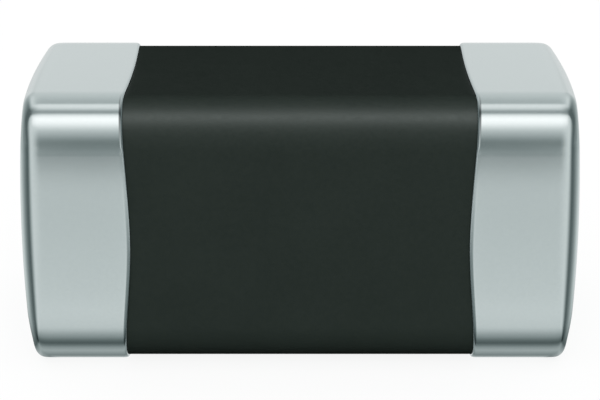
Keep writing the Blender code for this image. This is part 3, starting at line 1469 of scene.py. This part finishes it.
@dataclass
class Studio:
    """Plain pale floor, plain white light and a tent of soft boxes for the metal to mirror.

    The tent's inner side is seen by mirror rays alone. Over the chip, from the front to the back, it has a
    dim opening for the camera, the main soft box, a narrow gap, a strip of light, the ceiling and the back
    wall. Past the chip's ends are white side walls, with a dark gap between them and the front.
    The tent's runs of tones go by the angle in degrees from the front over the top. Its starts, ends and
    half widths are shares of the way to the side.
    To mirror rays the floor glows, with painted shade and light in it. Its runs go by millimetres:
    ahead_of_chip, and the painted shade and light before the dark body, ahead of the chip's front; the
    painted contact shadow round the chip, past_chip and behind_chip off its outline. Close to the rim the
    floor has a painted highlight for the crown to mirror. The swings are spans of the angle, in degrees,
    by which a spot of the floor lies past the chip's front corner, or past the cap's rim for the two rim
    swings.
    """

    floor_z: float
    chip_half_length: float
    chip_half_width: float
    floor_size: float = 400 * MM
    floor_gap: float = 0.5 * MICRON
    tent_radius: float = 180 * MM
    side_level: float = 0.97
    box_fade: float = 1.6
    light_level: float = 0.85
    front_lamp: SoftLamp = SoftLamp("front_soft_lamp", 38, 40 * MM, 24 * MM, 24 * MM, 3.7)
    edge_lamp: SoftLamp = SoftLamp("edge_strip_lamp", 71, 6 * MM, 12 * MM, 1.2 * MM, 8.8)
    floor_grey: float = 0.6
    shadow_share: float = 0.12
    dim_red_power: float = 1.1
    over_chip: tuple[Tone, ...] = (
        Tone(0, 0.31),
        Tone(8, 0.275),
        Tone(15, 0.32),
        Tone(36, 0.78),
        Tone(42, 1.0),
        Tone(54, 1.5),
        Tone(64, 1.7),
        Tone(71, 1.5),
        Tone(75, 1.25),
        Tone(80.5, 0.38),
        Tone(84, 0.42),
        Tone(93, 1.08),
        Tone(98, 1.2),
        Tone(105, 1.2),
        Tone(107.5, 0.59),
        Tone(118, 0.68),
        Tone(134, 0.81),
        Tone(150, 0.86),
        Tone(165, 0.9),
        Tone(180, 0.9),
    )
    box_half_width: tuple[Tone, ...] = (
        Tone(44, 0.17),
        Tone(52, 0.22),
        Tone(73, 0.22),
        Tone(78, 0.17),
    )
    beside_chip: tuple[Tone, ...] = (
        Tone(74, 0.97),
        Tone(80, 0.42),
        Tone(92, 0.42),
        Tone(101, 0.97),
        Tone(130, 0.97),
        Tone(155, 0.76),
        Tone(165, 0.76),
        Tone(172, 0.9),
        Tone(180, 0.85),
    )
    gap_start: tuple[Tone, ...] = (
        Tone(0, 0.29),
        Tone(14, 0.32),
        Tone(45, 0.4),
        Tone(61, 0.43),
        Tone(72, 0.4),
        Tone(79, 0.15),
        Tone(86, 0.16),
        Tone(93, 0.22),
        Tone(105, 0.28),
        Tone(115, 0.33),
        Tone(130, 0.36),
    )
    gap_end: tuple[Tone, ...] = (
        Tone(0, 0.73),
        Tone(14, 0.75),
        Tone(45, 0.83),
        Tone(61, 0.82),
        Tone(72, 0.75),
        Tone(79, 0.42),
        Tone(86, 0.45),
        Tone(93, 0.52),
        Tone(105, 0.62),
        Tone(115, 0.66),
        Tone(180, 0.63),
    )
    gap_level: tuple[Tone, ...] = (
        Tone(100, 0.17),
        Tone(175, 0.6),
    )
    far_end_start: tuple[Tone, ...] = (
        Tone(0, 0.71),
        Tone(14, 0.78),
        Tone(45, 0.86),
    )
    far_end_level: tuple[Tone, ...] = (
        Tone(100, 0.36),
        Tone(176, 0.56),
    )
    ahead_of_chip: tuple[Tone, ...] = (
        Tone(0.3, 0.85),
        Tone(0.45, 0.95),
        Tone(0.6, 0.87),
        Tone(1.4, 0.79),
        Tone(1.75, 0.95),
        Tone(1.85, 0.82),
        Tone(1.98, 0.14),
        Tone(2.15, 0.28),
        Tone(2.5, 0.46),
        Tone(3.0, 0.38),
        Tone(4.5, 0.38),
        Tone(8.0, 0.31),
    )
    # Painted contact shadow in the mirrored glow, under and round the chip's outline.
    round_chip: tuple[Tone, ...] = (
        Tone(-0.12, 1.0),
        Tone(-0.07, 0.3),
        Tone(-0.03, 0.58),
        Tone(0.0, 0.4),
        Tone(0.03, 0.16),
        Tone(0.06, 0.27),
        Tone(0.1, 0.49),
        Tone(0.2, 0.8),
        Tone(0.3, 1.0),
    )
    past_chip: tuple[Tone, ...] = (
        Tone(0.0, 1.0),
        Tone(0.08, 0.6),
        Tone(0.2, 0.6),
        Tone(0.35, 0.75),
        Tone(0.6, 0.95),
        Tone(1.0, 1.0),
        Tone(1.5, 1.0),
        Tone(2.0, 0.82),
        Tone(2.4, 0.72),
    )
    behind_chip: tuple[Tone, ...] = (
        Tone(0.3, 1.0),
        Tone(1.2, 0.75),
        Tone(1.6, 0.7),
        Tone(3.0, 0.77),
        Tone(7.0, 0.83),
    )
    # Painted shade before the dark body near the chip, and painted light far ahead of it.
    before_body: tuple[Tone, ...] = (
        Tone(0.3, 0.35),
        Tone(0.75, 0.4),
        Tone(1.1, 0.58),
        Tone(1.5, 0.85),
        Tone(2.0, 1.2),
        Tone(3.0, 1.8),
        Tone(8.0, 2.0),
    )
    # Painted highlight close to the rim, for the cap's crown to mirror.
    before_rim_level: float = 1.1
    before_rim_swing: tuple[float, float] = (-12, -2)
    past_rim_swing: tuple[float, float] = (0, 6)
    side_card_swing: tuple[float, float] = (8, 15)
    dark_gap_swing: tuple[float, float] = (16, 45)
    dark_gap_level: float = 0.15
    past_end_swing: tuple[float, float] = (40, 125)
    behind_swing: tuple[float, float] = (140, 165)
    body_half_length: float = 0.49 * MM

    def build(self, metal: Sequence[bpy.types.Object], ceramic: Sequence[bpy.types.Object]) -> None:
        """Build the world, the floor, the tent and the lamps.

        Args:
            metal: Pieces that mirror the tent and the floor.
            ceramic: Pieces that the narrow edge lamp lights.
        """
        world = bpy.data.worlds.new("studio")
        bpy.context.scene.world = world
        world.use_nodes = True
        tree = world.node_tree
        paths = add_node(tree, "ShaderNodeLightPath").outputs
        level = add_node(
            tree,
            "ShaderNodeMix",
            {"data_type": "FLOAT"},
            {"Factor": paths["Is Camera Ray"], 2: self.light_level, 3: 1.0},
        )
        tree.nodes["Background"].inputs["Color"].default_value = (1.0, 1.0, 1.0, 1.0)
        tree.links.new(level.outputs[0], tree.nodes["Background"].inputs["Strength"])
        for backdrop in (self._build_floor(), self._build_tent()):
            self._light_only(backdrop, metal)
        self._build_lamps(ceramic)

    def _light_only(self, light: bpy.types.Object, pieces: Sequence[bpy.types.Object]) -> None:
        """Link a light or a glowing backdrop to the pieces that it shines on.

        Args:
            light: The light or backdrop.
            pieces: The pieces.
        """
        lit = bpy.data.collections.new(light.name + "_lights")
        for piece in pieces:
            lit.objects.link(piece)
        light.light_linking.receiver_collection = lit

    def _build_tent(self) -> bpy.types.Object:
        """Build the tent, a dome that only mirror rays see.

        Returns:
            The tent.
        """
        work = bmesh.new()
        bmesh.ops.create_uvsphere(work, u_segments=32, v_segments=16, radius=self.tent_radius)
        bmesh.ops.reverse_faces(work, faces=work.faces)
        mesh = bpy.data.meshes.new("soft_box_tent")
        work.to_mesh(mesh)
        work.free()
        mesh.materials.append(self._tent_material())
        tent = bpy.data.objects.new("soft_box_tent", mesh)
        tent.visible_camera = False
        tent.visible_diffuse = False
        tent.visible_transmission = False
        tent.visible_shadow = False
        link_to_scene(tent)
        return tent

    def _tent_material(self) -> bpy.types.Material:
        """Build the tent's glowing cloth, whose brightness goes by the way it lies from the chip.

        Returns:
            The material.
        """
        made = bpy.data.materials.new("glowing_tent_cloth")
        made.use_nodes = True
        made.cycles.emission_sampling = "NONE"
        tree = made.node_tree
        tree.nodes.remove(tree.nodes["Principled BSDF"])
        place = add_node(tree, "ShaderNodeTexCoord").outputs["Object"]
        way = add_node(tree, "ShaderNodeVectorMath", {"operation": "NORMALIZE"}, {0: place})
        split = add_node(tree, "ShaderNodeSeparateXYZ", inputs={0: way.outputs[0]})
        forward = add_node(tree, "ShaderNodeMath", {"operation": "MULTIPLY"}, {0: split.outputs[1], 1: -1.0})
        turn = add_node(
            tree, "ShaderNodeMath", {"operation": "ARCTAN2"}, {0: split.outputs[2], 1: forward.outputs[0]}
        )
        angle = add_node(tree, "ShaderNodeMath", {"operation": "DEGREES"}, {0: turn.outputs[0]}).outputs[0]
        lean = add_node(tree, "ShaderNodeMath", {"operation": "ABSOLUTE"}, {0: split.outputs[0]}).outputs[0]

        level = add_tones(tree, angle, self.over_chip)
        box_end = add_tones(tree, angle, self.box_half_width)
        wall_start = add_node(
            tree, "ShaderNodeMath", {"operation": "MULTIPLY"}, {0: box_end, 1: self.box_fade}
        ).outputs[0]
        level = add_blends(
            tree,
            lean,
            level,
            (
                (box_end, wall_start, add_tones(tree, angle, self.beside_chip)),
                (
                    add_tones(tree, angle, self.gap_start),
                    add_tones(tree, angle, self.gap_end),
                    add_tones(tree, angle, self.gap_level),
                ),
                (add_tones(tree, angle, self.far_end_start), 1.0, add_tones(tree, angle, self.far_end_level)),
            ),
        )
        self._glow(tree, level)
        return made

    def _glow(self, tree: bpy.types.NodeTree, level: bpy.types.NodeSocket) -> None:
        """Make a material's surface glow at a level, a little cooler where it is dim.

        Args:
            tree: The material's tree.
            level: Output socket with the brightness.
        """
        red = add_node(
            tree, "ShaderNodeMath", {"operation": "POWER"}, {0: level, 1: self.dim_red_power}
        ).outputs[0]
        colour = add_node(tree, "ShaderNodeCombineColor", inputs={0: red, 1: level, 2: level})
        glow = add_node(tree, "ShaderNodeEmission", inputs={"Color": colour.outputs[0]})
        tree.links.new(glow.outputs[0], tree.nodes["Material Output"].inputs["Surface"])

    def _build_floor(self) -> bpy.types.Object:
        """Build the floor.

        Returns:
            The floor, a flat square under the chip.
        """
        mesh = bpy.data.meshes.new("floor")
        half = self.floor_size / 2
        corners = [(-half, -half), (half, -half), (half, half), (-half, half)]
        level = self.floor_z - self.floor_gap
        mesh.from_pydata([(x, y, level) for x, y in corners], [], [(0, 1, 2, 3)])
        mesh.materials.append(self._floor_material())
        floor = bpy.data.objects.new("floor", mesh)
        link_to_scene(floor)
        return floor

    def _floor_material(self) -> bpy.types.Material:
        """Build the floor's material: white to the camera but for a soft shadow, pale cards with painted
        shade to mirrors.

        From below it is clear, so that the chip's underside can be looked at.

        Returns:
            The material.
        """
        made = bpy.data.materials.new("pale_floor")
        made.use_nodes = True
        made.cycles.emission_sampling = "NONE"
        tree = made.node_tree
        tree.nodes.remove(tree.nodes["Principled BSDF"])
        output = tree.nodes["Material Output"]
        paths = add_node(tree, "ShaderNodeLightPath").outputs
        grey = (self.floor_grey, self.floor_grey, self.floor_grey, 1.0)
        lit = add_node(tree, "ShaderNodeBsdfDiffuse", inputs={"Color": grey})
        white = add_node(tree, "ShaderNodeBsdfDiffuse", inputs={"Color": (1.0, 1.0, 1.0, 1.0)})
        glow = add_node(tree, "ShaderNodeEmission", inputs={"Color": (1.0, 1.0, 1.0, 1.0), "Strength": 1.0})
        seen = add_node(
            tree,
            "ShaderNodeMixShader",
            inputs={0: self.shadow_share, 1: glow.outputs[0], 2: white.outputs[0]},
        )
        self._glow(tree, self._floor_level(tree))
        mirrored = output.inputs["Surface"].links[0].from_socket
        plain = add_node(
            tree,
            "ShaderNodeMixShader",
            inputs={0: paths["Is Camera Ray"], 1: lit.outputs[0], 2: seen.outputs[0]},
        )
        both = add_node(
            tree,
            "ShaderNodeMixShader",
            inputs={0: paths["Is Glossy Ray"], 1: plain.outputs[0], 2: mirrored},
        )
        below = add_node(tree, "ShaderNodeNewGeometry").outputs["Backfacing"]
        clear = add_node(tree, "ShaderNodeBsdfTransparent")
        one_way = add_node(
            tree, "ShaderNodeMixShader", inputs={0: below, 1: both.outputs[0], 2: clear.outputs[0]}
        )
        tree.links.new(one_way.outputs[0], output.inputs["Surface"])
        return made

    def _floor_level(self, tree: bpy.types.NodeTree) -> bpy.types.NodeSocket:
        """Add the brightness of the floor as the metal mirrors it.

        In front lies a card that ends a little way off, with painted shade before the dark body near the
        chip, painted light far off, and a painted highlight close to the rim for its crown to mirror. Past
        the chip's ends it is white, with the tent's dark gap mirrored on it, and close round the chip a
        painted contact shadow darkens it.

        Args:
            tree: Tree that the nodes go into.

        Returns:
            Output socket with the brightness.
        """
        place = add_node(tree, "ShaderNodeTexCoord").outputs["Object"]
        split = add_node(tree, "ShaderNodeSeparateXYZ", inputs={0: place})
        past = []
        for axis, half in ((0, self.chip_half_length), (1, self.chip_half_width)):
            size = add_node(tree, "ShaderNodeMath", {"operation": "ABSOLUTE"}, {0: split.outputs[axis]})
            over = add_node(tree, "ShaderNodeMath", {"operation": "SUBTRACT"}, {0: size.outputs[0], 1: half})
            past.append(over.outputs[0])
        past_end, past_side = (
            add_node(tree, "ShaderNodeMath", {"operation": "MAXIMUM"}, {0: over, 1: 0.0}).outputs[0]
            for over in past
        )
        outside = add_node(tree, "ShaderNodeCombineXYZ", inputs={0: past_end, 1: past_side})
        reach = add_node(tree, "ShaderNodeVectorMath", {"operation": "LENGTH"}, {0: outside.outputs[0]})
        nearer = add_node(tree, "ShaderNodeMath", {"operation": "MAXIMUM"}, {0: past[0], 1: past[1]})
        inside = add_node(
            tree, "ShaderNodeMath", {"operation": "MINIMUM"}, {0: nearer.outputs[0], 1: 0.0}
        )
        off_outline = add_node(
            tree, "ShaderNodeMath", {"operation": "ADD"}, {0: reach.outputs["Value"], 1: inside.outputs[0]}
        )
        ahead = add_node(
            tree,
            "ShaderNodeMath",
            {"operation": "MULTIPLY_ADD"},
            {0: split.outputs[1], 1: -1.0, 2: -self.chip_half_width},
        ).outputs[0]
        turn = add_node(tree, "ShaderNodeMath", {"operation": "ARCTAN2"}, {0: past_end, 1: ahead})
        swing = add_node(tree, "ShaderNodeMath", {"operation": "DEGREES"}, {0: turn.outputs[0]}).outputs[0]
        ahead_mm = add_node(tree, "ShaderNodeMath", {"operation": "DIVIDE"}, {0: ahead, 1: MM}).outputs[0]
        off_mm = add_node(
            tree, "ShaderNodeMath", {"operation": "DIVIDE"}, {0: off_outline.outputs[0], 1: MM}
        ).outputs[0]

        level = add_tones(tree, ahead_mm, self.ahead_of_chip)
        past_rim = add_node(
            tree,
            "ShaderNodeMath",
            {"operation": "ADD"},
            {0: past[0], 1: self.chip_half_length - self.body_half_length},
        ).outputs[0]
        rim_turn = add_node(tree, "ShaderNodeMath", {"operation": "ARCTAN2"}, {0: past_rim, 1: ahead})
        rim_swing = add_node(
            tree, "ShaderNodeMath", {"operation": "DEGREES"}, {0: rim_turn.outputs[0]}
        ).outputs[0]
        # Painted shade and light before the dark body, and a painted highlight close to the rim for the crown
        # to mirror.
        before = add_blends(
            tree,
            rim_swing,
            add_tones(tree, ahead_mm, self.before_body),
            ((*self.before_rim_swing, self.before_rim_level), (*self.past_rim_swing, 1.0)),
        )
        level = add_node(tree, "ShaderNodeMath", {"operation": "MULTIPLY"}, {0: level, 1: before}).outputs[0]
        level = add_blends(
            tree,
            swing,
            level,
            (
                (*self.side_card_swing, self.side_level),
                (*self.dark_gap_swing, self.dark_gap_level),
                (*self.past_end_swing, add_tones(tree, off_mm, self.past_chip)),
                (*self.behind_swing, add_tones(tree, off_mm, self.behind_chip)),
            ),
        )
        # A painted contact shadow round the chip darkens the floor's mirrored glow.
        return add_node(
            tree,
            "ShaderNodeMath",
            {"operation": "MULTIPLY"},
            {0: level, 1: add_tones(tree, off_mm, self.round_chip)},
        ).outputs[0]

    def _build_lamps(self, ceramic: Sequence[bpy.types.Object]) -> None:
        """Build the lamps.

        Args:
            ceramic: Pieces that the edge lamp lights.
        """
        self.front_lamp.build().visible_glossy = False
        edge = self.edge_lamp.build()
        edge.visible_diffuse = False
        self._light_only(edge, ceramic)


@dataclass(frozen=True)
class StudyCamera:
    """Camera at the photograph's angle: in front of the chip, looking down on it.

    focal_pixels is the focal length in pixels of an image image_width pixels wide.
    """

    elevation_deg: float = 19.23
    pitch_deg: float = 19.36
    distance: float = 5.786 * MM
    focal_pixels: float = 1929.3
    image_width: float = 600.0
    sensor_mm: float = 36.0
    near_clip: float = 0.1 * MM
    far_clip: float = 1000 * MM

    def build(self) -> bpy.types.Object:
        """Build the camera and make it the scene's.

        Returns:
            The camera.
        """
        data = bpy.data.cameras.new("camera")
        data.sensor_width = self.sensor_mm
        data.lens = self.sensor_mm * self.focal_pixels / self.image_width
        data.clip_start = self.near_clip
        data.clip_end = self.far_clip
        camera = bpy.data.objects.new("camera", data)
        rise = math.radians(self.elevation_deg)
        camera.location = self.distance * Vector((0.0, -math.cos(rise), math.sin(rise)))
        camera.rotation_euler = (math.pi / 2 - math.radians(self.pitch_deg), 0.0, 0.0)
        link_to_scene(camera)
        bpy.context.scene.camera = camera
        return camera


# ---------------------------------------------------------------- putting it together


def main() -> None:
    """Build the chip and its studio."""
    logging.basicConfig(level=logging.INFO, format="%(name)s: %(message)s")
    bpy.context.scene.view_settings.view_transform = "Standard"
    form = ChipForm.from_frame()
    loft = SectionLoft(form)

    stacks = [ElectrodeStack.from_frame(side, form) for side in Side]
    plates = [stack.make() for stack in stacks]
    for stack, piece in zip(stacks, plates):
        LOG.info("%s: %d plates", piece.name, stack.count)
    block = CeramicBlock(form).make(loft, stacks)
    LOG.info("%s: %d faces", block.name, len(block.data.polygons))
    metal = list(plates)

    finishes = {
        Skin.SILVER: FIRED_SILVER.material(),
        Skin.NICKEL: SATIN_NICKEL.material(),
        Skin.TIN: MATTE_TIN.material(),
    }
    for side in Side:
        for piece in EndCap(form, side).make(loft, finishes):
            LOG.info("%s: %d faces", piece.name, len(piece.data.polygons))
            metal.append(piece)

    studio = Studio(-form.height / 2, chip_half_length=form.length / 2, chip_half_width=form.width / 2)
    studio.build(metal, [block])
    StudyCamera().build()


if __name__ == "__main__":
    main()
